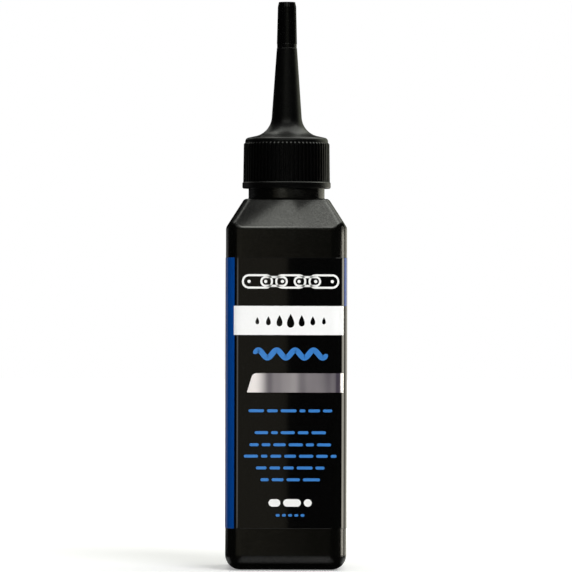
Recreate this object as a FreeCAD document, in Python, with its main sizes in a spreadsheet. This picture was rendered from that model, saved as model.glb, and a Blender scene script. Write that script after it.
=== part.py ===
import FreeCAD, Part
import math
import os
import Sketcher

# Chain lube bottle: a square blown bottle in a wrapped label, closed by a screw spout cap on a soft
# washer, with a small cap pushed over the spout's tip.
# Millimetres, +Z up, front face towards -Y, standing on z = 0 with the neck on the Z axis.

doc = FreeCAD.newDocument("chain_lube_bottle")
sameHeight = 1e-4                    # heights this close count as one when edges are picked

drivingSizes = [
    # bottle
    ("body_width", 37.2),            # across the flats of the square body
    ("body_height", 105.0),          # base to the foot of the shoulder
    ("corner_radius", 5.0),          # upright corners
    ("base_radius", 4.6),            # round between sides and base
    ("wall", 1.0),
    ("floor_bevel", 2.1),            # slope inside, between the floor and the sides
    ("round_share", 0.92),           # largest share of its room that a round or bevel may take
    ("rest_ring", 3.0),              # width of the flat ring that the bottle stands on
    ("recess_depth", 1.3),           # push-up inside that ring
    ("recess_slope", 1.5),           # how far the recess narrows towards its roof
    ("shoulder_height", 8.9),
    ("shoulder_ledge", 1.22),        # flat between the collar and the shoulder's top edge
    ("shoulder_corner", 2.3),        # corners between its four slopes
    ("shoulder_round", 2.0),         # round along the foot of the slopes
    ("slope_overrun", 1.0),          # how far the cut of the slopes runs past the foot and the ledge
    ("ledge_bevel", 0.4),            # bevel along the top edge of the shoulder
    # neck of the bottle
    ("neck_diameter", 21.6),         # under the thread
    ("neck_wall", 1.8),
    ("neck_height", 16.5),           # ledge to lip
    ("collar_step", 0.98),           # collar beyond the neck
    ("collar_overlap", 1.0),         # collar hidden inside the cap's mouth
    ("collar_bevel", 0.4),           # slope at the collar's foot
    ("lip_bevel", 0.4),
    # wrapped label
    ("label_bottom", 12.8),          # base to the label's lower edge
    ("label_margin", 9.2),           # label's upper edge to the foot of the shoulder
    ("label_thickness", 0.1),
    ("glue_gap", 0.02),
    ("seam_gap", 1.0),               # butt seam at the back
    # sealing washer
    ("washer_thickness", 1.0),
    ("washer_clearance", 0.5),       # round its rim, inside the cap
    # spout cap
    ("cap_clearance", 0.32),         # round the collar
    ("mouth_gap", 3.4),              # collar that shows between the ledge and the cap
    ("skirt_wall", 0.75),
    ("bead_height", 2.0),
    ("bead_step", 0.84),             # bead beyond the skirt between the ribs
    ("bead_bevel", 0.3),
    ("rib_count", 64),
    ("rib_foot", 0.8),               # width where a rib leaves the skirt
    ("rib_crest", 0.45),
    ("rib_height", 0.59),            # at the bead
    ("rib_draft", 0.16),             # height lost towards the crown
    ("rib_setback", 1.2),            # crown's edge down to the ends of the ribs
    ("rib_end_drop", 0.6),           # slope of the ribs' ends
    ("rib_sink", 0.15),              # how far a rib starts inside the wall and the bead that carry it
    ("crown_thickness", 1.455),
    ("crown_round", 1.2),
    ("land_rise", 1.7),              # crown's edge to the root of the nozzle
    ("flare_radius", 6.3),           # sweep from the crown into the nozzle
    ("nozzle_root_diameter", 9.96),
    ("nozzle_end_diameter", 6.28),
    ("nozzle_length", 26.4),
    ("nozzle_wall", 1.6),
    ("nozzle_bevel", 0.2),           # broken edge round the nozzle's end
    ("funnel_step", 2.1),            # how far the channel opens out under the crown
    ("channel_start", 3.4),          # root of the nozzle to the foot of the tapered channel
    ("seat_width", 0.94),            # step that the tip cap seats on
    ("spigot_length", 12.4),
    ("spigot_taper", 0.5),           # radius lost along the spigot
    ("orifice_diameter", 1.8),
    # tip cap
    ("tip_clearance", 0.1),          # round the spigot
    ("tip_end_gap", 0.3),            # above the spigot
    ("tip_roof", 1.44),
    ("tip_rim_inset", 0.09),         # rim inside the nozzle's edge
    ("tip_rim_height", 1.25),
    ("tip_rim_bevel", 0.14),         # broken edge along the rim's top
    ("tip_core_inset", 0.19),        # cap between its ribs, inside the rim
    ("tip_taper", 0.3),              # radius lost along the cap
    ("tip_rib_count", 24),
    ("tip_rib_foot", 0.5),
    ("tip_rib_crest", 0.26),
    ("tip_rib_height", 0.26),
    ("tip_edge_width", 0.29),        # bevel round the top
    ("tip_edge_height", 1.3),
]

sheet = doc.addObject("Spreadsheet::Sheet", "sizes")
for row, (alias, number) in enumerate(drivingSizes, start=1):
    sheet.set(f"A{row}", alias)
    sheet.set(f"B{row}", str(number))
    sheet.setAlias(f"B{row}", alias)
doc.recompute()

# Sizes that several pieces share, worked out from the driving sizes
cavityWidth = "(sizes.body_width - 2 * sizes.wall)"
cavityCorner = "(sizes.corner_radius - sizes.wall)"
baseRound = "min(sizes.base_radius; sizes.round_share * sizes.corner_radius)"
floorBevel = f"min(sizes.floor_bevel; sizes.round_share * {cavityCorner})"
floorLevel = "(sizes.recess_depth + sizes.wall)"
neckRadius = "(sizes.neck_diameter / 2)"
boreRadius = f"({neckRadius} - sizes.neck_wall)"
collarRadius = f"({neckRadius} + sizes.collar_step)"
ledgeWidth = f"(2 * ({collarRadius} + sizes.shoulder_ledge))"
ledgeLevel = "(sizes.body_height + sizes.shoulder_height)"
slopeRun = f"((sizes.body_width - {ledgeWidth}) / sizes.shoulder_height)"
lipLevel = f"({ledgeLevel} + sizes.neck_height)"
capBoreRadius = f"({collarRadius} + sizes.cap_clearance)"
skirtRadius = f"({capBoreRadius} + sizes.skirt_wall)"
mouthLevel = f"({ledgeLevel} + sizes.mouth_gap)"
skirtDepth = "(sizes.neck_height + sizes.washer_thickness - sizes.mouth_gap)"
crownEdge = f"({skirtDepth} + sizes.crown_thickness)"
nozzleRoot = f"({crownEdge} + sizes.land_rise)"
nozzleEnd = f"({nozzleRoot} + sizes.nozzle_length)"
nozzleRootRadius = "(sizes.nozzle_root_diameter / 2)"
nozzleEndRadius = "(sizes.nozzle_end_diameter / 2)"
spigotRootRadius = f"({nozzleEndRadius} - sizes.seat_width)"
spigotEndRadius = f"({spigotRootRadius} - sizes.spigot_taper)"
socketDepth = "(sizes.spigot_length + sizes.tip_end_gap)"


def value(expression):
    return float(sheet.evalExpression(expression.replace("sizes.", "")))


def originPart(body, role):
    return next(part for part in body.Origin.OriginFeatures if part.Role == role)


def newBody(label, level):
    # A piece drawn from its own foot upwards, with that foot at the given height
    body = doc.addObject("PartDesign::Body", label)
    body.Label = label
    body.setExpression("Placement.Base.z", level)
    return body


def newSketch(body, name, plane, level="0"):
    sketch = body.newObject("Sketcher::SketchObject", name)
    sketch.AttachmentSupport = [(originPart(body, plane), "")]
    sketch.MapMode = "FlatFace"
    sketch.setExpression("AttachmentOffset.Base.z", level)
    return sketch


def hold(sketch, kind, *places, size):
    # One dimension of a sketch, bound to the sheet
    index = sketch.addConstraint(Sketcher.Constraint(kind, *places, value(size)))
    sketch.setExpression(f"Constraints[{index}]", size)


def placePoint(sketch, point, across, up):
    # A point held from the origin, or on an axis where its distance is nothing
    for kind, axis, size in (("DistanceX", -2, across), ("DistanceY", -1, up)):
        if size == "0":
            sketch.addConstraint(Sketcher.Constraint("PointOnObject", point, 1, axis))
        else:
            hold(sketch, kind, -1, 1, point, 1, size=size)


def section(sketch, corners):
    # A closed outline through corners given as (across, up), or as (across, up, radius) where an arc
    # rounds the corner. Line i runs from corner i to the next one.
    points = [FreeCAD.Vector(value(corner[0]), value(corner[1]), 0) for corner in corners]
    count = len(points)
    for i in range(count):
        sketch.addGeometry(Part.LineSegment(points[i], points[(i + 1) % count]))
    for i, (across, up, *radius) in enumerate(corners):
        before = (i - 1) % count
        if radius:
            roundCorner(sketch, before, i, points[i], radius[0])
            placePoint(sketch, sketch.GeometryCount - 1, across, up)
        else:
            sketch.addConstraint(Sketcher.Constraint("Coincident", before, 2, i, 1))
            placePoint(sketch, i, across, up)


def roundCorner(sketch, before, after, corner, radius):
    # An arc tangent to two lines, and last a construction point that keeps their corner
    size = value(radius)
    back = (sketch.Geometry[before].StartPoint - corner).normalize()
    onward = (sketch.Geometry[after].EndPoint - corner).normalize()
    half = back.getAngle(onward) / 2
    centre = corner + (back + onward).normalize() * (size / math.sin(half))
    ends = [corner + way * (size / math.tan(half)) for way in (back, onward)]
    leftTurn = back.cross(onward).z < 0
    first, last = ends if leftTurn else reversed(ends)
    angles = [math.atan2(*((end - centre)[axis] for axis in (1, 0))) for end in (first, last)]
    circle = Part.Circle(centre, FreeCAD.Vector(0, 0, 1), size)
    arc = sketch.addGeometry(Part.ArcOfCircle(circle, *angles))
    backEnd, onwardEnd = (1, 2) if leftTurn else (2, 1)
    sketch.addConstraint(Sketcher.Constraint("Tangent", before, 2, arc, backEnd))
    sketch.addConstraint(Sketcher.Constraint("Tangent", arc, onwardEnd, after, 1))
    hold(sketch, "Radius", arc, size=radius)
    point = sketch.addGeometry(Part.Point(corner), True)
    for line in (before, after):
        sketch.addConstraint(Sketcher.Constraint("PointOnObject", point, 1, line))


def roundedSquare(sketch, width, radius):
    # Four sides and four corner arcs about the origin, side 0 in front and the rest anticlockwise
    first = sketch.GeometryCount
    half = value(width) / 2
    flat = half - value(radius)
    for quarter in range(4):
        turn = FreeCAD.Rotation(FreeCAD.Vector(0, 0, 1), 90 * quarter)
        start = turn.multVec(FreeCAD.Vector(-flat, -half, 0))
        end = turn.multVec(FreeCAD.Vector(flat, -half, 0))
        centre = turn.multVec(FreeCAD.Vector(flat, -flat, 0))
        circle = Part.Circle(centre, FreeCAD.Vector(0, 0, 1), value(radius))
        sketch.addGeometry(Part.LineSegment(start, end))
        sketch.addGeometry(Part.ArcOfCircle(circle, (quarter - 1) * math.pi / 2, quarter * math.pi / 2))
    for quarter in range(4):
        side = first + 2 * quarter
        nextSide = first + 2 * ((quarter + 1) % 4)
        sketch.addConstraint(Sketcher.Constraint("Tangent", side, 2, side + 1, 1))
        sketch.addConstraint(Sketcher.Constraint("Tangent", side + 1, 2, nextSide, 1))
        sketch.addConstraint(Sketcher.Constraint("Vertical" if quarter % 2 else "Horizontal", side))
        if quarter:
            sketch.addConstraint(Sketcher.Constraint("Equal", first + 1, side + 1))
    sketch.addConstraint(Sketcher.Constraint("Symmetric", first, 1, first + 4, 1, -1, 1))
    hold(sketch, "Radius", first + 1, size=radius)
    hold(sketch, "DistanceY", first, 1, first + 4, 1, size=width)
    hold(sketch, "DistanceX", first + 6, 1, first + 2, 1, size=width)


def circles(sketch, *radii):
    for index, radius in enumerate(radii):
        sketch.addGeometry(Part.Circle(FreeCAD.Vector(), FreeCAD.Vector(0, 0, 1), value(radius)))
        sketch.addConstraint(Sketcher.Constraint("Coincident", index, 3, -1, 1))
        hold(sketch, "Radius", index, size=radius)


def ribSection(sketch, rootRadius, crestRadius, foot, crest):
    # A rib cut across: a trapezium along +X, wide at its root, even about the X axis
    xRoot = value(rootRadius)
    xCrest = value(crestRadius)
    corners = [(xRoot, -value(foot) / 2), (xCrest, -value(crest) / 2),
               (xCrest, value(crest) / 2), (xRoot, value(foot) / 2)]
    for line in range(4):
        start = FreeCAD.Vector(*corners[line], 0)
        end = FreeCAD.Vector(*corners[(line + 1) % 4], 0)
        sketch.addGeometry(Part.LineSegment(start, end))
    for line in range(4):
        sketch.addConstraint(Sketcher.Constraint("Coincident", line, 2, (line + 1) % 4, 1))
    for low, high, size in ((0, 3, foot), (1, 2, crest)):
        sketch.addConstraint(Sketcher.Constraint("Symmetric", low, 1, high, 1, -1))
        hold(sketch, "DistanceY", low, 1, high, 1, size=size)
    hold(sketch, "DistanceX", -1, 1, 0, 1, size=rootRadius)
    hold(sketch, "DistanceX", -1, 1, 1, 1, size=crestRadius)


def feature(body, kind, name, profile, **settings):
    made = body.newObject(f"PartDesign::{kind}", name)
    made.Profile = profile
    for key, setting in settings.items():
        setattr(made, key, setting)
    return made


def extrude(body, kind, name, profile, length):
    made = feature(body, kind, name, profile)
    made.setExpression("Length", length)
    doc.recompute()
    return made


def turned(body, kind, name, profile):
    made = feature(body, kind, name, profile, ReferenceAxis=(profile, ["V_Axis"]), Angle=360)
    doc.recompute()
    return made


def lofted(body, kind, name, first, *others):
    made = feature(body, kind, name, first, Sections=list(others), Ruled=True)
    doc.recompute()
    return made


def edged(body, kind, name, size, onEdge):
    # A fillet or chamfer along every edge of the body so far that the test picks
    base = body.Tip
    picked = [f"Edge{i}" for i, edge in enumerate(base.Shape.Edges, start=1) if onEdge(edge)]
    made = body.newObject(f"PartDesign::{kind}", name)
    made.Base = (base, picked)
    made.setExpression("Radius" if kind == "Fillet" else "Size", size)
    doc.recompute()
    return made


def between(low, high, beyond="0"):
    # Picks edges that lie between two heights, and wholly beyond a distance from the axis
    lowest = value(low) - sameHeight
    highest = value(high) + sameHeight
    least = value(beyond)

    def onEdge(edge):
        points = edge.discretize(5)
        inBand = all(lowest < point.z < highest for point in points)
        return inBand and min(math.hypot(point.x, point.y) for point in points) > least
    return onEdge


def repeated(body, name, rib, count):
    made = body.newObject("PartDesign::PolarPattern", name)
    made.Originals = [rib]
    made.Axis = (originPart(body, "Z_Axis"), [""])
    made.Angle = 360
    made.setExpression("Occurrences", count)
    body.Tip = made
    doc.recompute()
    return made


def makeBottle():
    body = newBody("bottle", "0")
    outline = newSketch(body, "body_outline", "XY_Plane")
    roundedSquare(outline, "sizes.body_width", "sizes.corner_radius")
    extrude(body, "Pad", "body_block", outline, ledgeLevel)

    # Shoulder: a square frame narrowing upwards cuts four slopes, so the round corners end in arches
    slopeGain = f"({slopeRun} * sizes.slope_overrun)"
    slopeStages = [
        ("slope_foot", "sizes.body_height - sizes.slope_overrun", f"sizes.body_width + {slopeGain}"),
        ("slope_top", f"{ledgeLevel} + sizes.slope_overrun", f"{ledgeWidth} - {slopeGain}"),
    ]
    slopeSketches = []
    for name, level, width in slopeStages:
        sketch = newSketch(body, name, "XY_Plane", level)
        roundedSquare(sketch, "sizes.body_width + 2 * sizes.shoulder_height", "sizes.corner_radius")
        roundedSquare(sketch, width, "sizes.shoulder_corner")
        slopeSketches.append(sketch)
    lofted(body, "SubtractiveLoft", "shoulder_slopes", *slopeSketches)

    # Neck: collar, sloped step up to the thread's root, bevelled lip
    collarTop = f"({mouthLevel} + sizes.collar_overlap)"
    neckSection = newSketch(body, "neck_section", "XZ_Plane")
    section(neckSection, [
        ("0", ledgeLevel),
        (f"{collarRadius} + sizes.collar_bevel", ledgeLevel),
        (collarRadius, f"{ledgeLevel} + sizes.collar_bevel"),
        (collarRadius, collarTop),
        (neckRadius, f"{collarTop} + sizes.collar_step"),
        (neckRadius, f"{lipLevel} - sizes.lip_bevel"),
        (f"{neckRadius} - sizes.lip_bevel", lipLevel),
        ("0", lipLevel),
    ])
    turned(body, "Revolution", "neck", neckSection)

    edged(body, "Fillet", "base_edge", baseRound, between("0", "0"))
    archTop = "sizes.body_height + sizes.shoulder_height / 2"
    edged(body, "Fillet", "shoulder_edge", "sizes.shoulder_round", between("sizes.body_height", archTop))
    midLedge = f"{collarRadius} + sizes.shoulder_ledge / 2"
    edged(body, "Chamfer", "ledge_edge", "sizes.ledge_bevel", between(ledgeLevel, ledgeLevel, midLedge))

    # Push-up in the base
    recessWidth = "(sizes.body_width - 2 * sizes.base_radius - 2 * sizes.rest_ring)"
    roofWidth = f"({recessWidth} - 2 * sizes.recess_slope)"
    recessCorner = f"min(sizes.corner_radius; sizes.round_share * {roofWidth} / 2)"
    recessMouth = newSketch(body, "recess_mouth", "XY_Plane")
    roundedSquare(recessMouth, recessWidth, recessCorner)
    recessRoof = newSketch(body, "recess_roof", "XY_Plane", "sizes.recess_depth")
    roundedSquare(recessRoof, roofWidth, recessCorner)
    lofted(body, "SubtractiveLoft", "base_recess", recessMouth, recessRoof)

    # Hollow inside: straight sides, sloped shoulder and the bore of the neck
    cavityTop = newSketch(body, "cavity_outline", "XY_Plane", "sizes.body_height")
    roundedSquare(cavityTop, cavityWidth, cavityCorner)
    extrude(body, "Pocket", "cavity", cavityTop, f"sizes.body_height - {floorLevel}")
    edged(body, "Chamfer", "cavity_floor_edge", floorBevel, between(floorLevel, floorLevel))

    roofSpan = f"{ledgeWidth} + {slopeRun} * sizes.wall - 2 * sizes.wall"
    cavityRoof = newSketch(body, "cavity_roof", "XY_Plane", f"{ledgeLevel} - sizes.wall")
    roundedSquare(cavityRoof, roofSpan, cavityCorner)
    cavityShoulder = newSketch(body, "cavity_shoulder", "XY_Plane", "sizes.body_height")
    roundedSquare(cavityShoulder, cavityWidth, cavityCorner)
    lofted(body, "SubtractiveLoft", "shoulder_cavity", cavityShoulder, cavityRoof)

    boreMouth = newSketch(body, "neck_bore_outline", "XY_Plane", lipLevel)
    circles(boreMouth, boreRadius)
    extrude(body, "Pocket", "neck_bore", boreMouth, "sizes.neck_height + 2 * sizes.wall")
    return body


def makeLabel():
    body = newBody("wrap_label", "sizes.label_bottom")
    innerWidth = "(sizes.body_width + 2 * sizes.glue_gap)"
    innerCorner = "(sizes.corner_radius + sizes.glue_gap)"
    height = "(sizes.body_height - sizes.label_bottom - sizes.label_margin)"
    wrap = newSketch(body, "wrap_outline", "XY_Plane")
    roundedSquare(wrap, innerWidth, innerCorner)
    roundedSquare(wrap, f"{innerWidth} + 2 * sizes.label_thickness", f"{innerCorner} + sizes.label_thickness")
    extrude(body, "Pad", "wrap", wrap, height)

    # Butt seam down the middle of the back
    seam = newSketch(body, "seam_outline", "XZ_Plane")
    section(seam, [("0", "0"), ("sizes.seam_gap", "0"), ("sizes.seam_gap", height), ("0", height)])
    extrude(body, "Pocket", "seam", seam, "sizes.body_width")
    return body


def makeWasher():
    body = newBody("sealing_washer", lipLevel)
    outline = newSketch(body, "washer_outline", "XY_Plane")
    circles(outline, boreRadius, f"{capBoreRadius} - sizes.washer_clearance")
    extrude(body, "Pad", "washer", outline, "sizes.washer_thickness")
    return body


def makeSpoutCap():
    body = newBody("spout_cap", mouthLevel)
    beadRadius = f"({skirtRadius} + sizes.bead_step)"
    channelRadius = f"({nozzleRootRadius} - sizes.nozzle_wall)"
    orificeRadius = "(sizes.orifice_diameter / 2)"
    # Half section: up the outside from the mouth to the tip, then down the channel and the skirt's bore
    flare = f"min(sizes.flare_radius; sizes.round_share * ({skirtRadius} - {nozzleRootRadius}))"
    shell = newSketch(body, "cap_section", "XZ_Plane")
    section(shell, [
        (f"{beadRadius} - sizes.bead_bevel", "0"),
        (beadRadius, "sizes.bead_bevel"),
        (beadRadius, "sizes.bead_height - sizes.bead_bevel"),
        (f"{beadRadius} - sizes.bead_bevel", "sizes.bead_height"),
        (skirtRadius, "sizes.bead_height"),
        (skirtRadius, crownEdge, "sizes.crown_round"),
        (nozzleRootRadius, nozzleRoot, flare),
        (nozzleEndRadius, f"{nozzleEnd} - sizes.nozzle_bevel"),
        (f"{nozzleEndRadius} - sizes.nozzle_bevel", nozzleEnd),
        (spigotRootRadius, nozzleEnd),
        (spigotEndRadius, f"{nozzleEnd} + sizes.spigot_length"),
        (orificeRadius, f"{nozzleEnd} + sizes.spigot_length"),
        (orificeRadius, nozzleEnd),
        (channelRadius, f"{nozzleRoot} + sizes.channel_start"),
        (f"{channelRadius} + sizes.funnel_step", skirtDepth),
        (capBoreRadius, skirtDepth),
        (capBoreRadius, "0"),
    ])
    turned(body, "Revolution", "cap_shell", shell)

    # Upright ribs from inside the bead to just under the crown: each leans in as it rises, and its end
    # slopes off into the skirt
    ribRoot = f"{skirtRadius} - 2 * sizes.rib_sink"
    ribTop = f"({crownEdge} - sizes.rib_setback)"
    ribStages = [
        ("rib_foot_section", "sizes.bead_height - sizes.rib_sink", f"{skirtRadius} + sizes.rib_height"),
        ("rib_top_section", f"{ribTop} - sizes.rib_end_drop",
         f"{skirtRadius} + sizes.rib_height - sizes.rib_draft"),
        ("rib_end_section", ribTop, f"{skirtRadius} - sizes.rib_sink"),
    ]
    ribSketches = []
    for name, level, crest in ribStages:
        sketch = newSketch(body, name, "XY_Plane", level)
        ribSection(sketch, ribRoot, crest, "sizes.rib_foot", "sizes.rib_crest")
        ribSketches.append(sketch)
    rib = lofted(body, "AdditiveLoft", "rib", *ribSketches)
    repeated(body, "ribs", rib, "sizes.rib_count")
    return body


def makeTipCap():
    body = newBody("tip_cap", f"{mouthLevel} + {nozzleEnd}")
    rimRadius = f"({nozzleEndRadius} - sizes.tip_rim_inset)"
    coreFoot = f"({rimRadius} - sizes.tip_core_inset)"
    coreTop = f"({coreFoot} - sizes.tip_taper)"
    length = f"({socketDepth} + sizes.tip_roof)"
    # Half section: rim, tapered core between the ribs, flat top, and the socket that fits the spigot
    shell = newSketch(body, "tip_section", "XZ_Plane")
    section(shell, [
        (rimRadius, "0"),
        (rimRadius, "sizes.tip_rim_height - sizes.tip_rim_bevel"),
        (f"{rimRadius} - sizes.tip_rim_bevel", "sizes.tip_rim_height"),
        (coreFoot, "sizes.tip_rim_height"),
        (coreTop, length),
        ("0", length),
        ("0", socketDepth),
        (f"{spigotEndRadius} + sizes.tip_clearance", socketDepth),
        (f"{spigotRootRadius} + sizes.tip_clearance", "0"),
    ])
    turned(body, "Revolution", "tip_shell", shell)

    ribLevel = "sizes.tip_rim_height - sizes.rib_sink"
    ribFoot = newSketch(body, "tip_rib_foot_section", "XY_Plane", ribLevel)
    ribEnd = newSketch(body, "tip_rib_end_section", "XY_Plane", length)
    for sketch, core in ((ribFoot, coreFoot), (ribEnd, coreTop)):
        root = f"{core} - sizes.rib_sink"
        crest = f"{core} + sizes.tip_rib_height"
        ribSection(sketch, root, crest, "sizes.tip_rib_foot", "sizes.tip_rib_crest")
    rib = lofted(body, "AdditiveLoft", "tip_rib", ribFoot, ribEnd)
    repeated(body, "tip_ribs", rib, "sizes.tip_rib_count")

    # Bevel that takes the ends of the ribs down to the flat top
    topRadius = f"({coreTop} + sizes.tip_rib_height - sizes.tip_edge_width)"
    bevel = newSketch(body, "tip_bevel_section", "XZ_Plane")
    section(bevel, [
        (topRadius, length),
        (f"{topRadius} + 2 * sizes.tip_edge_width", f"{length} - 2 * sizes.tip_edge_height"),
        (f"{topRadius} + 2 * sizes.tip_edge_width", length),
    ])
    turned(body, "Groove", "tip_bevel", bevel)
    return body


pieces = [makeBottle(), makeLabel(), makeWasher(), makeSpoutCap(), makeTipCap()]
doc.recompute()

# Nothing is written unless every feature was made and every piece is one sound solid
failed = [item.Name for item in doc.Objects if {"Invalid", "Error"} & set(item.State)]
if failed:
    raise RuntimeError("not made: " + ", ".join(failed))
for piece in pieces:
    shape = piece.Shape
    if shape.isNull() or not shape.isValid() or len(shape.Solids) != 1:
        raise RuntimeError("not one sound solid: " + piece.Label)

os.makedirs("parts", exist_ok=True)
for piece in pieces:
    piece.Shape.exportStep(f"parts/{piece.Label}.step")
    box = piece.Shape.BoundBox
    print(f"{piece.Label}: {piece.Shape.Volume:.1f} mm3, z {box.ZMin:.2f} to {box.ZMax:.2f}")
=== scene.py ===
import math

import bmesh
import bpy
import numpy as np
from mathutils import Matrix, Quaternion, Vector


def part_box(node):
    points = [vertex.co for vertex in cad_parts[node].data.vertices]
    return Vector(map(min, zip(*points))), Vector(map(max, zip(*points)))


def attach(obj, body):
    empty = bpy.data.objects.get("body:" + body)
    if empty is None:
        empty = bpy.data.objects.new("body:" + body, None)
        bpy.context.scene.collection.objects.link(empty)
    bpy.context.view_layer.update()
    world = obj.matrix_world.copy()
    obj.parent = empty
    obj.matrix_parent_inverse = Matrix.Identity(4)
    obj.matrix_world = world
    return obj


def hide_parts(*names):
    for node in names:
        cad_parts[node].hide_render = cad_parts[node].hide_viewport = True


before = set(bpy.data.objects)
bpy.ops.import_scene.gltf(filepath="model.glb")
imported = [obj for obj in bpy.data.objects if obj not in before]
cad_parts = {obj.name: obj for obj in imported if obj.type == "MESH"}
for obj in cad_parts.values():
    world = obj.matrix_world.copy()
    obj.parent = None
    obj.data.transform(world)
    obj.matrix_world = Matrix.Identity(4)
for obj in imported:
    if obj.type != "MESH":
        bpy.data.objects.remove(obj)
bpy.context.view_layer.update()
mm = 0.001
mergeGap = 1e-7                         # metres within which two points of a mesh are one
noiseSpan = (0.3, 0.7)                  # nearly all of a noise texture lies between these
mixFrom, mixTo, mixResult = 6, 7, 2     # colour sockets of a Mix node
print("frame loaded:", ", ".join(sorted(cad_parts)))


def hexColour(text):
    # sRGB hex to linear RGBA
    channels = np.array([int(text[i:i + 2], 16) for i in (1, 3, 5)]) / 255
    linear = np.where(channels <= 0.04045, channels / 12.92, ((channels + 0.055) / 1.055) ** 2.4)
    return (*linear.tolist(), 1.0)


def addNode(tree, kind, links=None, **settings):
    # One node: links gives its sockets a value or another node's output, settings are its properties
    node = tree.nodes.new(kind)
    for name, setting in settings.items():
        setattr(node, name, setting)
    for socket, given in (links or {}).items():
        if isinstance(given, bpy.types.NodeSocket):
            tree.links.new(given, node.inputs[socket])
        else:
            node.inputs[socket].default_value = given
    return node


def newMaterial(name):
    material = bpy.data.materials.new(name)
    material.use_nodes = True
    material.node_tree.nodes.clear()
    return material, material.node_tree


def featureScale(size):
    # Texture scale at which a pattern's features are this many millimetres across
    return 1 / (size * mm)


def joinGrids(grids):
    # Several (points, faces) pairs as one pair
    starts = np.cumsum([0] + [len(points) for points, faces in grids[:-1]])
    points = np.concatenate([points for points, faces in grids])
    faces = np.concatenate([faces + start for start, (_, faces) in zip(starts, grids)])
    return points, faces


def gridFaces(rows, columns, closedRows=False):
    # Quads between neighbouring points of a grid whose columns join round, and its rows too if closed
    row, column = np.indices((rows if closedRows else rows - 1, columns))
    row, column = row.ravel(), column.ravel()
    below = (row + 1) % rows
    after = (column + 1) % columns
    return np.stack([row * columns + column, row * columns + after,
                     below * columns + after, below * columns + column], axis=1)


def addPiece(name, points, faces, materials, body, faceMaterials=None, smoothAngle=30):
    # A closed mesh from arrays in metres: doubles merged, faces turned outwards, smooth up to an angle
    mesh = bpy.data.meshes.new(name)
    mesh.from_pydata(points, [], faces.tolist())
    for material in materials:
        mesh.materials.append(material)
    if faceMaterials is not None:
        mesh.polygons.foreach_set("material_index", np.asarray(faceMaterials, np.int32))
    mesh.polygons.foreach_set("use_smooth", np.ones(len(mesh.polygons), bool))
    shell = bmesh.new()
    shell.from_mesh(mesh)
    bmesh.ops.remove_doubles(shell, verts=shell.verts, dist=mergeGap)
    bmesh.ops.recalc_face_normals(shell, faces=shell.faces)
    shell.to_mesh(mesh)
    shell.free()
    mesh.set_sharp_from_angle(angle=math.radians(smoothAngle))
    piece = bpy.data.objects.new(name, mesh)
    bpy.context.scene.collection.objects.link(piece)
    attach(piece, body)
    print(name, len(mesh.polygons), "faces")
    return piece


# Moulded black plastics. Polyolefins are slightly waxy: a near-black body colour, a soft sheen that
# blurs what it mirrors, and a fine grain from the mould with pits that mirror less. The grain is drawn
# coarser than a mould's, so that it shows.
blownBottle = {"colour": "#040403", "ior": 1.52, "roughness": (0.17, 0.23), "patch": 6,
               "grain": 0.4, "grainDepth": 0.006, "pits": (0.36, 0.64), "wave": 14, "waveDepth": 0.006}
mouldedCap = {"colour": "#030303", "ior": 1.49, "roughness": (0.31, 0.37), "patch": 3,
              "grain": 0.3, "grainDepth": 0.0010, "pits": (0.4, 0.6), "wave": 7, "waveDepth": 0.002}
mouldedTip = {"colour": "#030303", "ior": 1.49, "roughness": (0.18, 0.24), "patch": 2,
              "grain": 0.3, "grainDepth": 0.0003, "pits": (0.49, 0.51), "wave": 4, "waveDepth": 0.001}


def mouldedPlastic(name, look):
    # Sizes in mm: patches of more and less sheen, mould grain, and the slow waves of a cooled wall.
    # Roughness follows the patches, and the specular level goes with the grain from pit to crest.
    material, tree = newMaterial(name)
    place = addNode(tree, "ShaderNodeTexCoord").outputs["Object"]
    patch = addNode(tree, "ShaderNodeTexNoise",
                    {"Vector": place, "Scale": featureScale(look["patch"]), "Detail": 3.0})
    roughness = addNode(tree, "ShaderNodeMapRange",
                        {"Value": patch.outputs["Fac"], "From Min": noiseSpan[0], "From Max": noiseSpan[1],
                         "To Min": look["roughness"][0], "To Max": look["roughness"][1]})
    wave = addNode(tree, "ShaderNodeTexNoise",
                   {"Vector": place, "Scale": featureScale(look["wave"]), "Detail": 0.0})
    waved = addNode(tree, "ShaderNodeBump",
                    {"Height": wave.outputs["Fac"], "Distance": look["waveDepth"] * mm})
    grain = addNode(tree, "ShaderNodeTexNoise",
                    {"Vector": place, "Scale": featureScale(look["grain"]), "Detail": 1.0})
    grained = addNode(tree, "ShaderNodeBump",
                      {"Height": grain.outputs["Fac"], "Distance": look["grainDepth"] * mm,
                       "Normal": waved.outputs["Normal"]})
    pitted = addNode(tree, "ShaderNodeMapRange",
                     {"Value": grain.outputs["Fac"], "From Min": noiseSpan[0], "From Max": noiseSpan[1],
                      "To Min": look["pits"][0], "To Max": look["pits"][1]})
    shader = addNode(tree, "ShaderNodeBsdfPrincipled",
                     {"Base Color": hexColour(look["colour"]), "IOR": look["ior"],
                      "Specular IOR Level": pitted.outputs["Result"],
                      "Roughness": roughness.outputs["Result"], "Normal": grained.outputs["Normal"]})
    addNode(tree, "ShaderNodeOutputMaterial", {"Surface": shader.outputs["BSDF"]})
    return material


# Cross-linked polyethylene foam, sliced: chalky white with small cut cells
washerFoam = {"colour": "#ece9e2", "shade": "#d8d4ca", "roughness": 0.85, "cell": 0.35, "cellDepth": 0.05}


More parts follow.
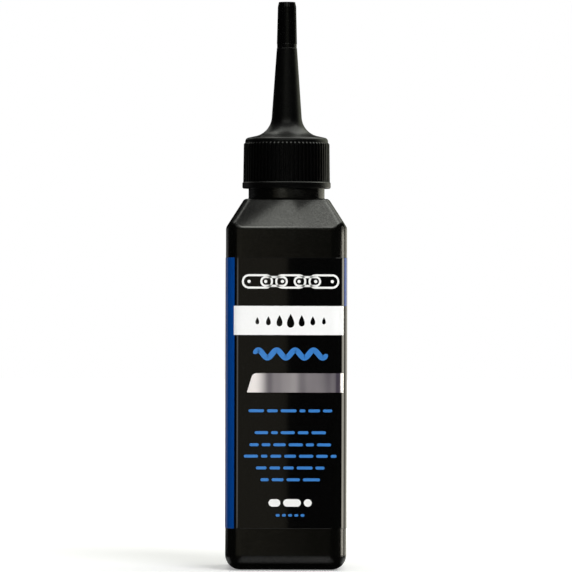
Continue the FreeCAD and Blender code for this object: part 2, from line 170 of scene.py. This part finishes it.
def slicedFoam(look):
    material, tree = newMaterial("slicedFoam")
    place = addNode(tree, "ShaderNodeTexCoord").outputs["Object"]
    cells = addNode(tree, "ShaderNodeTexVoronoi", {"Vector": place, "Scale": featureScale(look["cell"])})
    tint = addNode(tree, "ShaderNodeMix",
                   {"Factor": cells.outputs["Distance"], mixFrom: hexColour(look["shade"]),
                    mixTo: hexColour(look["colour"])}, data_type="RGBA")
    pitted = addNode(tree, "ShaderNodeBump",
                     {"Height": cells.outputs["Distance"], "Distance": look["cellDepth"] * mm})
    shader = addNode(tree, "ShaderNodeBsdfPrincipled",
                     {"Base Color": tint.outputs[mixResult], "Roughness": look["roughness"],
                      "Normal": pitted.outputs["Normal"]})
    addNode(tree, "ShaderNodeOutputMaterial", {"Surface": shader.outputs["BSDF"]})
    return material


def dressNode(node, material):
    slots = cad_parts[node].data.materials
    for index in range(len(slots)):
        slots[index] = material


bottlePlastic = mouldedPlastic("blownPolyethylene", blownBottle)
capPlastic = mouldedPlastic("mouldedPolypropylene", mouldedCap)
dressNode("bottle", bottlePlastic)
dressNode("spout_cap", capPlastic)
dressNode("tip_cap", mouldedPlastic("mouldedPolyethylene", mouldedTip))
dressNode("sealing_washer", slicedFoam(washerFoam))
print("plastics and foam dressed")


# Printed polypropylene film under a gloss varnish: sharp reflections, flat printed colours with a
# faint screen of dots, drawn coarser than a printer's, and a surface that is not quite flat where it was
# rolled on. Its cut edge is greyer and dull.
filmLook = {"black": "#040404", "blue": "#044292", "white": "#fbfbfb", "edge": "#8d9196",
            "whiteInk": "#f7f7f5", "blueInk": "#3d7fc9", "ior": 1.5, "roughness": 0.05,
            "edgeRoughness": 0.4, "screen": 0.25, "screenChange": 0.06, "ripple": 22, "rippleDepth": 0.004}
# Silver panel: metallised film under a satin varnish, with a painted sheen in its colour: a painted highlight
# at the bright left end falls off in soft upright bands of painted reflection to a dark strip, and a painted
# flash lights the right corner; places in mm from the middle.
foilLook = {"light": "#fff8f6", "dark": "#463f4b", "metallic": 0.2, "roughness": 0.3, "band": 5.0,
            "stretch": 25, "bright": (-10.0, -4.4), "shade": (15.0, 15.5), "flash": (16.4, 16.8),
            "sheen": (0.0, 0.32)}


def printedFilm(name, colour, roughness=None):
    # Dots of the printing screen darken the ink a little, and slow ripples bend the reflections
    look = filmLook
    material, tree = newMaterial(name)
    place = addNode(tree, "ShaderNodeTexCoord").outputs["Object"]
    dots = addNode(tree, "ShaderNodeTexVoronoi", {"Vector": place, "Scale": featureScale(look["screen"])})
    tone = addNode(tree, "ShaderNodeMapRange",
                   {"Value": dots.outputs["Distance"], "To Min": 1 - look["screenChange"], "To Max": 1.0})
    ink = addNode(tree, "ShaderNodeHueSaturation",
                  {"Value": tone.outputs["Result"], "Color": hexColour(colour)})
    ripple = addNode(tree, "ShaderNodeTexNoise",
                     {"Vector": place, "Scale": featureScale(look["ripple"]), "Detail": 1.0})
    rippled = addNode(tree, "ShaderNodeBump",
                      {"Height": ripple.outputs["Fac"], "Distance": look["rippleDepth"] * mm})
    shader = addNode(tree, "ShaderNodeBsdfPrincipled",
                     {"Base Color": ink.outputs["Color"], "IOR": look["ior"],
                      "Roughness": roughness or look["roughness"], "Normal": rippled.outputs["Normal"]})
    addNode(tree, "ShaderNodeOutputMaterial", {"Surface": shader.outputs["BSDF"]})
    return material


def metallisedFilmWithPaintedSheen(look):
    # The painted sheen: noise stretched in height gives its bands, and smooth steps across the panel make its
    # bright left end, dark strip and flash
    material, tree = newMaterial("metallisedFilmWithPaintedSheen")
    place = addNode(tree, "ShaderNodeTexCoord").outputs["Object"]
    across = addNode(tree, "ShaderNodeSeparateXYZ", {"Vector": place}).outputs["X"]
    stretched = addNode(tree, "ShaderNodeMapping",
                        {"Vector": place, "Scale": (1.0, 1.0, 1 / look["stretch"])})
    bands = addNode(tree, "ShaderNodeTexNoise",
                    {"Vector": stretched.outputs["Vector"], "Scale": featureScale(look["band"]),
                     "Detail": 1.0})
    banded = addNode(tree, "ShaderNodeMapRange",
                     {"Value": bands.outputs["Fac"], "From Min": noiseSpan[0], "From Max": noiseSpan[1],
                      "To Min": look["sheen"][0], "To Max": look["sheen"][1]})
    share = banded.outputs["Result"]
    for step, ends in (("shade", {"To Max": 0.0}), ("flash", {"To Max": 1.0}), ("bright", {"To Min": 1.0})):
        start, stop = (limit * mm for limit in look[step])
        share = addNode(tree, "ShaderNodeMapRange",
                        {"Value": across, "From Min": start, "From Max": stop,
                         **{"To Min": share, "To Max": share, **ends}},
                        interpolation_type="SMOOTHSTEP").outputs["Result"]
    # the painted sheen sets the base colour between the dark and light tints
    tint = addNode(tree, "ShaderNodeMix",
                   {"Factor": share, mixFrom: hexColour(look["dark"]), mixTo: hexColour(look["light"])},
                   data_type="RGBA")
    shader = addNode(tree, "ShaderNodeBsdfPrincipled",
                     {"Base Color": tint.outputs[mixResult], "Metallic": look["metallic"],
                      "Roughness": look["roughness"]})
    addNode(tree, "ShaderNodeOutputMaterial", {"Surface": shader.outputs["BSDF"]})
    return material


# Wrapped label. Places on it are (s, z) in mm: s runs round the bottle from the middle of the front,
# positive to the right, and z is the height above the base.
wrapLow, wrapHigh = (np.array(corner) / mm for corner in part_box("wrap_label"))
labelWrap = {"faceOut": wrapHigh[0] - 0.012,        # outer face of the film, from the axis
             "inkOut": wrapHigh[0] - 0.002,         # printed shapes stand this little proud of it
             "inkSink": 0.01,                       # and reach this far into it
             "film": 0.088, "flat": 13.6,           # its thickness, and half of the flat part of a side
             "bottom": wrapLow[2], "top": wrapHigh[2], "seam": 1.0,
             "cornerSteps": 24, "digits": 6, "endGap": 0.001}    # how its columns are set and told apart
quarter = 2 * labelWrap["flat"] + math.pi / 2 * (labelWrap["faceOut"] - labelWrap["flat"])


def onWrap(s, z, out):
    # Rounded square: the number of the side, then along its flat and round half of the corner at each end;
    # out is the distance of the sides from the axis, and the corner's radius is out less the flat
    flat = labelWrap["flat"]
    side = np.floor(s / quarter + 0.5)
    t = s - side * quarter
    bend = np.maximum(np.abs(t) - flat, 0) / (labelWrap["faceOut"] - flat)
    along = np.sign(t) * (np.minimum(np.abs(t), flat) + (out - flat) * np.sin(bend))
    outward = flat + (out - flat) * np.cos(bend)
    turn = side * math.pi / 2
    x = along * np.cos(turn) + outward * np.sin(turn)
    y = along * np.sin(turn) - outward * np.cos(turn)
    return np.stack(np.broadcast_arrays(x, y, z), axis=-1) * mm


# Fields of the print in (s from, s to, z from, z to), on a black ground: a blue side on the left, a blue
# field on the right above the white band, and a silver panel across the front
labelFields = {"blue": [(-51.0, -16.0, 0.0, 200.0), (18.5, 53.5, 81.0, 200.0)],
               "white": [(-16.2, 18.1, 72.1, 81.0)], "silver": [(-12.0, 18.1, 54.5, 60.4)]}
filmEdge = {"bevel": 0.12, "drop": 0.08}    # rim of the film, pressed down towards the bottle


def makeLabel():
    # The film's section, a thin upright strip with its rows at the fields' edges, carried round the wrap
    boxes = [box for places in labelFields.values() for box in places]
    corners = [side * quarter + sign * (labelWrap["flat"] + np.linspace(
        0, quarter / 2 - labelWrap["flat"], labelWrap["cornerSteps"] // 2)) for side in range(-2, 3)
        for sign in (-1, 1)]
    s = np.unique(np.round(np.concatenate([*corners, *[box[:2] for box in boxes], [0]]),
                           labelWrap["digits"]))
    first, last = -2 * quarter, 2 * quarter - labelWrap["seam"]
    gap = labelWrap["endGap"]
    s = np.concatenate([[first], s[(s > first + gap) & (s < last - gap)], [last]])
    bottom, top = labelWrap["bottom"], labelWrap["top"]
    levels = np.unique([level for box in boxes for level in box[2:]])
    z = np.concatenate([[bottom, bottom + filmEdge["bevel"]], levels[(levels > bottom) & (levels < top)],
                        [top - filmEdge["bevel"], top]])
    out = np.full(z.shape, labelWrap["faceOut"])
    out[[0, -1]] -= filmEdge["drop"]
    outer = onWrap(s[:, None], z[None, :], out[None, :])
    inner = onWrap(s[:, None], z[None, ::-1], labelWrap["faceOut"] - labelWrap["film"])
    points = np.concatenate([outer, inner], axis=1)
    rows, columns = points.shape[:2]
    faces = gridFaces(rows, columns)
    unprinted = -1.0                           # stands in for the height of faces that carry no print
    midS = np.repeat((s[1:] + s[:-1]) / 2, columns)
    midZ = np.tile(np.concatenate([(z[1:] + z[:-1]) / 2, np.full(columns - len(z) + 1, unprinted)]), rows - 1)
    kinds = np.zeros(midS.shape, int)
    for kind, places in enumerate(labelFields.values(), start=1):
        for left, right, low, high in places:
            kinds[(midS > left) & (midS < right) & (midZ > low) & (midZ < high)] = kind
    cut = len(labelFields) + 1                 # the cut edges and the side towards the bottle
    kinds[midZ == unprinted] = cut
    half = columns // 2
    low = np.arange(half - 1)
    ends = [np.stack([low, low + 1, columns - 2 - low, columns - 1 - low], axis=1) + start
            for start in (0, (rows - 1) * columns)]
    faces = np.concatenate([faces, *ends])
    kinds = np.concatenate([kinds, np.full(2 * (half - 1), cut)])
    materials = [printedFilm("blackPrintedFilm", filmLook["black"]),
                 printedFilm("bluePrintedFilm", filmLook["blue"]),
                 printedFilm("whitePrintedFilm", filmLook["white"]),
                 metallisedFilmWithPaintedSheen(foilLook),
                 printedFilm("cutFilmEdge", filmLook["edge"], filmLook["edgeRoughness"])]
    label = addPiece("labelFilm", points.reshape(-1, 3), faces, materials, "bottle", kinds)
    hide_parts("wrap_label")


makeLabel()


# Inks. A line of ink has a point each step, and none nearer than the least; ends and curves have points
# of their own. Sizes in mm.
inkForm = {"step": 0.4, "least": 0.004, "barPoints": 9, "linkPoints": 17,
           "dropPoints": 33, "dropWidth": 0.72, "dropTaper": 1.15,
           "wavePoints": 121, "waveEnds": 24, "wedgePoints": 31}


def inkSlab(left, right, closed=False):
    # A thin slab on the film between two edges, each given as (s, z) along its length
    low, high = labelWrap["faceOut"] - labelWrap["inkSink"], labelWrap["inkOut"]
    ring = [onWrap(*edge, out) for edge, out in ((left, low), (left, high), (right, high), (right, low))]
    points = np.stack(ring, axis=1)
    return points.reshape(-1, 3), gridFaces(len(points), 4, closedRows=closed)


def inkShape(s, z, half, closed=False):
    # A flat shape of ink: a centre line (s, z) with a half width at each point, laid on the film as a
    # thin slab whose edges are the line moved sideways by the half width, both ways. Points are put in
    # along straight stretches, so that the slab follows the film round the corners.
    if closed:
        s, z, half = (np.append(values, values[0]) for values in (s, z, half))
    run = np.concatenate([[0], np.cumsum(np.hypot(np.diff(s), np.diff(z)))])
    at = np.unique(np.concatenate([run, np.arange(0, run[-1], inkForm["step"])]))
    at = at[np.concatenate([np.diff(at) > inkForm["least"], [True]])]
    s, z, half = (np.interp(at, run, values) for values in (s, z, half))
    if closed:
        s, z, half = s[:-1], z[:-1], half[:-1]
        ds, dz = np.roll(s, -1) - np.roll(s, 1), np.roll(z, -1) - np.roll(z, 1)
    else:
        ds, dz = np.gradient(s), np.gradient(z)
    length = np.hypot(ds, dz)
    sideS, sideZ = -dz / length * half, ds / length * half
    return inkSlab((s + sideS, z + sideZ), (s - sideS, z - sideZ), closed)


def inkBar(s, z, length, height):
    # A bar with round ends: half width follows a circle over the last half height at each end
    radius = height / 2
    turn = np.linspace(0, math.pi / 2, inkForm["barPoints"])
    cap = radius * (1 - np.cos(turn))
    along = np.concatenate([cap, (length - cap)[::-1]])
    half = np.concatenate([radius * np.sin(turn), (radius * np.sin(turn))[::-1]])
    return inkShape(s - length / 2 + along, np.full(along.shape, z), half)


def inkDrop(s, z, height):
    # A falling drop: with t from 0 at its foot to 1 at its tip, half width goes as the root of t, which
    # is round, times a power of 1 - t, which tapers
    t = (1 - np.cos(np.linspace(0, math.pi, inkForm["dropPoints"]))) / 2
    half = inkForm["dropWidth"] * height * np.sqrt(t) * (1 - t) ** inkForm["dropTaper"]
    return inkShape(np.full(t.shape, s), z - height / 2 + height * t, half)


def inkLink(s, z, pitch, radius, stroke):
    # Outline of a chain link: two half circles a pitch apart joined by straight lines
    turn = np.linspace(-math.pi / 2, math.pi / 2, inkForm["linkPoints"])
    right = s + pitch / 2 + radius * np.cos(turn), z + radius * np.sin(turn)
    left = s - pitch / 2 - radius * np.cos(turn), z - radius * np.sin(turn)
    line = [np.concatenate(pair) for pair in zip(right, left)]
    return inkShape(*line, np.full(line[0].shape, stroke / 2), closed=True)


def inkWave(s, z, length, waves, rise, height):
    # A sine ribbon with round ends: half width is full but for a high power of the way from the middle
    t = np.linspace(0, 1, inkForm["wavePoints"])
    half = height / 2 * np.sqrt(1 - np.abs(2 * t - 1) ** inkForm["waveEnds"])
    return inkShape(s + (t - 0.5) * length, z + rise * np.sin(2 * math.pi * waves * t), half)


def inkWedge(s, z, height, slant, radius, tip):
    # A wedge that slants the end of a field: no width at its foot, an edge that leans by the slant and
    # sweeps round by the radius at the top, and a low tip that closes it
    rise = np.linspace(0, height, inkForm["wedgePoints"])
    sweep = np.clip((rise - height + radius) / radius, 0, 1)
    width = slant * rise + radius * (1 - np.sqrt(1 - sweep ** 2))
    level = z + np.append(rise, height + tip)
    return inkSlab((s + np.append(0 * width, width[-1] / 2), level),
                   (s + np.append(width, width[-1] / 2), level))


# The printed motifs are plain signs of a chain oil: links, drops, a wave and rows of bars. A wedge in the
# ground's black slants the left end of the silver panel.
motifs = {"middle": 1.3,
          "links": {"z": 88.5, "count": 5, "pitch": 5.1, "radius": (1.9, 1.35), "stroke": 0.62, "pin": 1.0},
          "drops": {"z": 76.5, "heights": (2.2, 2.8, 3.5, 4.3, 3.5, 2.8, 2.2), "step": 3.4},
          "wedge": {"s": -12.05, "z": 54.45, "height": 6.0, "slant": 0.3, "radius": 1.2, "tip": 0.05},
          "wave": {"z": 66.3, "length": 22.6, "waves": 4, "rise": 1.15, "height": 1.7},
          "rules": {"middle": 1.3, "z": (48.9, 42.2, 38.5, 35.0, 31.4, 27.8), "height": 0.9, "gap": 0.9,
                    "shares": (1.6, 5.2), "mean": 4.2, "widths": (25.6, 21.8, 25.0, 28.4, 21.0, 18.2),
                    "seed": 4},
          "sideRules": {"middle": quarter, "z": np.arange(70.0, 21.0, -2.6).tolist(), "height": 0.7,
                        "gap": 0.7, "shares": (1.2, 3.6), "mean": 3.0,
                        "widths": [24.0] * 18 + [13.0], "seed": 7},
          "blocks": {"z": 20.7, "lengths": (3.6, 5.4, 2.4), "height": 2.3, "gap": 0.9},
          "dashes": {"z": 16.9, "count": 5, "length": 1.2, "height": 0.8, "step": 1.9}}


def barRow(middle, z, lengths, height, gap):
    # Bars side by side about a middle
    starts = np.cumsum([0, *lengths[:-1]]) + gap * np.arange(len(lengths))
    first = middle - (starts[-1] + lengths[-1]) / 2
    return [inkBar(first + start + length / 2, z, length, height) for start, length in zip(starts, lengths)]


def ruleRows(rules):
    # Rows of bars of chance lengths, each row as wide as stated
    draw = np.random.default_rng(rules["seed"])
    rows = []
    for z, width in zip(rules["z"], rules["widths"]):
        shares = draw.uniform(*rules["shares"], size=round(width / rules["mean"]))
        lengths = shares * (width - rules["gap"] * (len(shares) - 1)) / shares.sum()
        rows += barRow(rules["middle"], z, lengths.tolist(), rules["height"], rules["gap"])
    return rows


def makePrint():
    middle = motifs["middle"]
    links, drops = motifs["links"], motifs["drops"]
    joints = middle + links["pitch"] * (np.arange(links["count"] + 1) - links["count"] / 2)
    white = [inkLink((joints[i] + joints[i + 1]) / 2, links["z"], links["pitch"], links["radius"][i % 2],
                     links["stroke"]) for i in range(links["count"])]
    white += [inkBar(joint, links["z"], links["pin"], links["pin"]) for joint in joints]
    blocks = motifs["blocks"]
    white += barRow(middle, blocks["z"], blocks["lengths"], blocks["height"], blocks["gap"])
    white += ruleRows(motifs["sideRules"])
    count = len(drops["heights"])
    black = [inkDrop(middle + drops["step"] * (i - (count - 1) / 2), drops["z"], height)
             for i, height in enumerate(drops["heights"])]
    black += [inkWedge(**motifs["wedge"])]
    wave, dashes = motifs["wave"], motifs["dashes"]
    blue = [inkWave(middle, wave["z"], wave["length"], wave["waves"], wave["rise"], wave["height"])]
    blue += ruleRows(motifs["rules"])
    blue += barRow(middle, dashes["z"], [dashes["length"]] * dashes["count"], dashes["height"],
                   dashes["step"] - dashes["length"])
    inks = (("whitePrint", white, filmLook["whiteInk"]), ("blackPrint", black, filmLook["black"]),
            ("bluePrint", blue, filmLook["blueInk"]))    # flat inks under the film's varnish
    for name, shapes, colour in inks:
        points, faces = joinGrids(shapes)
        addPiece(name, points, faces, [printedFilm(name + "Ink", colour)], "bottle")


makePrint()


# Screw threads, left to this file as too fine for the solids: a ridge on the neck and one in the cap,
# half a pitch apart, so that the cap's turn and lift carry one along the groove of the other.
thread = {"pitch": 3.175, "start": 121.6, "steps": 180, "runOut": 12,    # ends fade over 1/12 turn
          "neck": {"root": 10.75, "crest": 11.8, "foot": 1.9, "top": 1.0, "turns": (0.0, 2.0), "shift": 0.0},
          "cap": {"root": 12.15, "crest": 11.15, "foot": 1.6, "top": 0.8, "turns": (-0.7, 1.8), "shift": 0.5}}


def makeThread(name, ridge, material, body):
    # A trapezium carried up a helix; its height runs out smoothly to nothing at both ends, and each end
    # closes to a point
    turns = np.linspace(*ridge["turns"], thread["steps"])
    fade = np.clip(np.minimum(turns - turns[0], turns[-1] - turns) * thread["runOut"], 0, 1)
    fade = fade * fade * (3 - 2 * fade)
    crest = ridge["root"] + (ridge["crest"] - ridge["root"]) * fade
    rise = thread["start"] + thread["pitch"] * (turns + ridge["shift"])
    angle = 2 * math.pi * turns
    spread = np.ones(turns.shape)
    spread[[0, -1]] = 0
    ring = [(np.full(turns.shape, ridge["root"]), -ridge["foot"] / 2), (crest, -ridge["top"] / 2),
            (crest, ridge["top"] / 2), (np.full(turns.shape, ridge["root"]), ridge["foot"] / 2)]
    points = np.stack([np.stack([radius * np.cos(angle), radius * np.sin(angle), rise + spread * offset],
                                axis=1) for radius, offset in ring], axis=1) * mm
    addPiece(name, points.reshape(-1, 3), gridFaces(len(turns), 4), [material], body, smoothAngle=40)


makeThread("neckThread", thread["neck"], bottlePlastic, "bottle")
makeThread("capThread", thread["cap"], capPlastic, "spout")


# Stage: a pale paper floor that keeps a soft shadow round the bottle and turns white further off. The
# plastic mirrors only a strip of it before each of the four sides, and a dark room beyond.
floorLook = {"colour": "#f4f4f4", "reach": 3.0, "level": -0.0002, "glow": (0.3, 1.0), "whiten": (0.08, 0.5),
             "strip": {"near": (0.0185, 0.0205), "far": (0.028, 0.040), "half": (0.013, 0.017)},
             "mirrored": 0.88}


def makeFloor():
    reach, level = floorLook["reach"], floorLook["level"]
    mesh = bpy.data.meshes.new("floor")
    mesh.from_pydata([(-reach, -reach, level), (reach, -reach, level), (reach, reach, level),
                      (-reach, reach, level)], [], [(0, 1, 2, 3)])
    material, tree = newMaterial("palePaperFloor")
    rays = addNode(tree, "ShaderNodeLightPath").outputs
    place = addNode(tree, "ShaderNodeTexCoord").outputs["Object"]
    away = addNode(tree, "ShaderNodeVectorMath", {0: place}, operation="LENGTH").outputs["Value"]
    glowing = addNode(tree, "ShaderNodeMapRange",
                      {"Value": away, "From Min": floorLook["whiten"][0], "From Max": floorLook["whiten"][1],
                       "To Min": floorLook["glow"][0], "To Max": floorLook["glow"][1]})
    paper = addNode(tree, "ShaderNodeBsdfDiffuse", {"Color": hexColour(floorLook["colour"])})
    glow = addNode(tree, "ShaderNodeEmission", {"Strength": glowing.outputs["Result"]})
    lit = addNode(tree, "ShaderNodeAddShader", {0: paper.outputs["BSDF"], 1: glow.outputs["Emission"]})
    seen = addNode(tree, "ShaderNodeMixShader", {"Fac": rays["Is Camera Ray"], 1: paper.outputs["BSDF"],
                                                 2: lit.outputs["Shader"]})
    # Strips before the sides: the greater of the distances from the two middle planes is between near and
    # far, and the lesser is within half a side
    sides = addNode(tree, "ShaderNodeSeparateXYZ", {"Vector": addNode(
        tree, "ShaderNodeVectorMath", {0: place}, operation="ABSOLUTE").outputs["Vector"]}).outputs
    outer = addNode(tree, "ShaderNodeMath", {0: sides["X"], 1: sides["Y"]}, operation="MAXIMUM")
    inner = addNode(tree, "ShaderNodeMath", {0: sides["X"], 1: sides["Y"]}, operation="MINIMUM")
    shown = rays["Is Glossy Ray"]
    for distance, limits, ends in ((outer, "near", (0.0, 1.0)), (outer, "far", (1.0, 0.0)),
                                   (inner, "half", (1.0, 0.0))):
        fade = addNode(tree, "ShaderNodeMapRange",
                       {"Value": distance.outputs["Value"], "From Min": floorLook["strip"][limits][0],
                        "From Max": floorLook["strip"][limits][1], "To Min": ends[0], "To Max": ends[1]})
        shown = addNode(tree, "ShaderNodeMath", {0: shown, 1: fade.outputs["Result"]},
                        operation="MULTIPLY").outputs["Value"]
    faint = addNode(tree, "ShaderNodeMath", {0: shown, 1: floorLook["mirrored"]}, operation="MULTIPLY")
    hidden = addNode(tree, "ShaderNodeMath", {0: rays["Is Glossy Ray"], 1: faint.outputs["Value"]},
                     operation="SUBTRACT")
    clear = addNode(tree, "ShaderNodeBsdfTransparent")
    paved = addNode(tree, "ShaderNodeMixShader", {"Fac": hidden.outputs["Value"], 1: seen.outputs["Shader"],
                                                  2: clear.outputs["BSDF"]})
    addNode(tree, "ShaderNodeOutputMaterial", {"Surface": paved.outputs["Shader"]})
    mesh.materials.append(material)
    floor = bpy.data.objects.new("floor", mesh)
    bpy.context.scene.collection.objects.link(floor)


makeFloor()


# White backdrop all round for the camera. Mirrored and diffuse rays see a dark room under a pale ceiling.
backdrop = {"white": 1.0, "room": 0.012, "ceiling": 0.15, "ceilingFade": (0.5, 0.9)}


def makeWorld():
    world = bpy.data.worlds.new("studio")
    bpy.context.scene.world = world
    world.use_nodes = True
    tree = world.node_tree
    tree.nodes.clear()
    way = addNode(tree, "ShaderNodeTexCoord").outputs["Generated"]
    height = addNode(tree, "ShaderNodeSeparateXYZ", {"Vector": way}).outputs["Z"]
    level = addNode(tree, "ShaderNodeMapRange",
                    {"Value": height, "From Min": backdrop["ceilingFade"][0],
                     "From Max": backdrop["ceilingFade"][1], "To Min": backdrop["room"],
                     "To Max": backdrop["ceiling"]}, interpolation_type="SMOOTHSTEP")
    around = addNode(tree, "ShaderNodeBackground", {"Strength": level.outputs["Result"]})
    plain = addNode(tree, "ShaderNodeBackground", {"Strength": backdrop["white"]})
    for node in (around, plain):
        node.inputs["Color"].default_value = hexColour("#ffffff")
    rays = addNode(tree, "ShaderNodeLightPath")
    seen = addNode(tree, "ShaderNodeMixShader", {"Fac": rays.outputs["Is Camera Ray"],
                                                 1: around.outputs["Background"],
                                                 2: plain.outputs["Background"]})
    addNode(tree, "ShaderNodeOutputWorld", {"Surface": seen.outputs["Shader"]})


makeWorld()


# Lamps are flat panels: where each stands, the point that it faces, its width and height in metres, the
# degrees that it is turned about its own middle, and the brightness of the panel itself. A card shows in
# the plastic and lights nothing, a fill does the reverse, and the overhead does both. A card with pieces
# named under "on" is flagged off from all others, and one that stands a few centimetres off puts its
# sheen on one spot of them.
panelWatts = 4    # for each square metre of a panel of brightness 1
bottleSide = ("bottle", "labelFilm", "whitePrint", "blackPrint", "bluePrint")
lamps = {"frontCard": {"at": (-0.119, -0.30, 0.045), "aim": (-0.119, 0, 0.045), "size": (0.241, 0.17),
                       "level": 0.17, "tint": "#fff6da", "lights": False, "on": bottleSide},
         "nozzleCard": {"at": (-0.16, -1.5, 0.52), "aim": (0, 0, 0.15), "size": (0.95, 0.2),
                        "level": 0.19, "tint": "#fbffe4", "lights": False},
         "nozzleRight": {"at": (0.042, 0.013, 0.153), "aim": (0, 0.013, 0.153), "size": (0.02, 0.036),
                         "level": 0.28, "tint": "#fbffe4", "lights": False, "on": ("spout_cap", "tip_cap")},
         "tipCard": {"at": (0.006, -0.05, 0.166), "aim": (0.006, 0, 0.166), "size": (0.03, 0.034),
                     "level": 0.085, "tint": "#fbffe4", "lights": False, "on": ("tip_cap",)},
         "neckCard": {"at": (-0.001, -0.045, 0.1163), "aim": (-0.001, 0, 0.1163), "size": (0.03, 0.005),
                      "level": 0.09, "tint": "#fbffe4", "lights": False, "on": ("bottle",)},
         "softbox": {"at": (0, -1.2, 0.95), "aim": (0, 0, 0.1), "size": (1.4, 0.4), "level": 0.7,
                     "tint": "#fdfff6", "lights": False},
         "flareLeft": {"at": (-0.66, 1.15, 0.85), "aim": (0, 0, 0.135), "size": (0.6, 0.4), "level": 0.5,
                       "tint": "#fdfff6", "lights": False, "on": ("spout_cap",)},
         "flareRight": {"at": (0.72, 1.15, 1.1), "aim": (0, 0, 0.135), "size": (0.6, 0.5), "level": 0.5,
                        "tint": "#fdfff6", "lights": False, "on": ("spout_cap",)},
         "slopeLeft": {"at": (-0.0048, -0.0313, 0.1243), "aim": (-0.0048, -0.0229, 0.1061),
                       "size": (0.0241, 0.015), "turn": 35, "level": 1.95, "tint": "#fdfff6",
                       "lights": False, "on": ("bottle",)},
         "slopeRight": {"at": (0.0195, -0.0255, 0.127), "aim": (0.0195, -0.0171, 0.1088),
                        "size": (0.0229, 0.0215), "turn": 35, "level": 1.8, "tint": "#fdfff6",
                        "lights": False, "on": ("bottle",)},
         "footCard": {"at": (0, -0.061, 0.147), "aim": (0, -0.0186, 0.105), "size": (0.042, 0.022),
                      "level": 2.0, "tint": "#fdfff6", "lights": False, "on": ("bottle",)},
         "ridgeLeft": {"at": (-0.62, -0.36, 1.25), "aim": (-0.62, -0.36, 0), "size": (0.35, 0.45),
                       "level": 1.5, "tint": "#fdfff6", "lights": False, "on": ("bottle",)},
         "ridgeRight": {"at": (0.60, -0.52, 1.25), "aim": (0.60, -0.52, 0), "size": (0.45, 0.25),
                        "level": 2.0, "tint": "#fdfff6", "lights": False, "on": ("bottle",)},
         "cornerStrip": {"at": (-0.77, -1.28, 0.02), "aim": (0, 0, 0.02), "size": (0.24, 0.17),
                         "level": 1.2, "lights": False, "on": bottleSide[1:]},
         "leftCard": {"at": (-0.196, 0.156, 0.054), "aim": (0, 0, 0.054), "size": (0.13, 0.108),
                      "level": 0.35, "lights": False},
         "rightCard": {"at": (0.0487, -0.0135, 0.0525), "aim": (0, -0.0135, 0.0525), "size": (0.0124, 0.104),
                       "level": 4.4, "tint": "#fffaea", "lights": False, "on": bottleSide},
         "rightBack": {"at": (0.20, 0.22, 0.045), "aim": (0, 0, 0.045), "size": (0.27, 0.15),
                       "level": 1.1, "tint": "#fffaea", "lights": False},
         "rightHigh": {"at": (0.20, 0.22, 0.26), "aim": (0, 0, 0.26), "size": (0.27, 0.28),
                       "level": 0.36, "tint": "#fbffe4", "lights": False},
         "overhead": {"at": (0.30, 0.40, 1.25), "aim": (0.30, 0.40, 0), "size": (1.6, 1.5), "level": 1.35,
                      "tint": "#fdfff6"},
         "fillLeft": {"at": (-0.4, -1.6, 0.8), "aim": (0, 0, 0.08), "size": (1.0, 1.0), "level": 1.2,
                      "mirrored": False},
         "fillRight": {"at": (0.8, -1.45, 0.9), "aim": (0, 0, 0.08), "size": (1.0, 1.0), "level": 5.6,
                       "mirrored": False}}


def makeLamps():
    for name, lamp in lamps.items():
        panel = bpy.data.lights.new(name, "AREA")
        panel.shape = "RECTANGLE"
        panel.size, panel.size_y = lamp["size"]
        panel.energy = panelWatts * lamp["level"] * panel.size * panel.size_y
        panel.color = hexColour(lamp.get("tint", "#ffffff"))[:3]
        stand = bpy.data.objects.new(name, panel)
        stand.location = lamp["at"]
        facing = (Vector(lamp["aim"]) - stand.location).to_track_quat("-Z", "Y")
        turned = Quaternion((0, 0, 1), math.radians(lamp.get("turn", 0)))
        stand.rotation_euler = (facing @ turned).to_euler()
        stand.visible_camera = False
        stand.visible_glossy = lamp.get("mirrored", True)
        stand.visible_diffuse = lamp.get("lights", True)
        bpy.context.scene.collection.objects.link(stand)
        if "on" in lamp:
            shownOn = bpy.data.collections.new(name + "Pieces")
            for piece in lamp["on"]:
                shownOn.objects.link(bpy.data.objects[piece])
            stand.light_linking.receiver_collection = shownOn


makeLamps()
print("stage, backdrop and lamps set")


# Camera: a long lens at the height of the label's upper half, turned a hair to the left
view = {"distance": 1.5, "azimuth": -0.2, "aside": -0.00008, "height": 0.08711, "roll": 0.16,
        "frameHalf": 286 * 0.31 * mm, "farthest": 20}    # half the frame is 286 pixels of 0.31 mm


def makeCamera():
    azimuth, roll = math.radians(view["azimuth"]), math.radians(view["roll"])
    lens = bpy.data.cameras.new("camera")
    lens.sensor_fit = "HORIZONTAL"
    lens.angle = 2 * math.atan(view["frameHalf"] / view["distance"])
    lens.clip_end = view["farthest"]
    camera = bpy.data.objects.new("camera", lens)
    camera.location = (view["distance"] * math.sin(azimuth) + view["aside"],
                       -view["distance"] * math.cos(azimuth), view["height"])
    camera.rotation_euler = (math.pi / 2, -roll, azimuth)
    bpy.context.scene.collection.objects.link(camera)
    bpy.context.scene.camera = camera


makeCamera()
bpy.context.scene.view_settings.view_transform = "Standard"
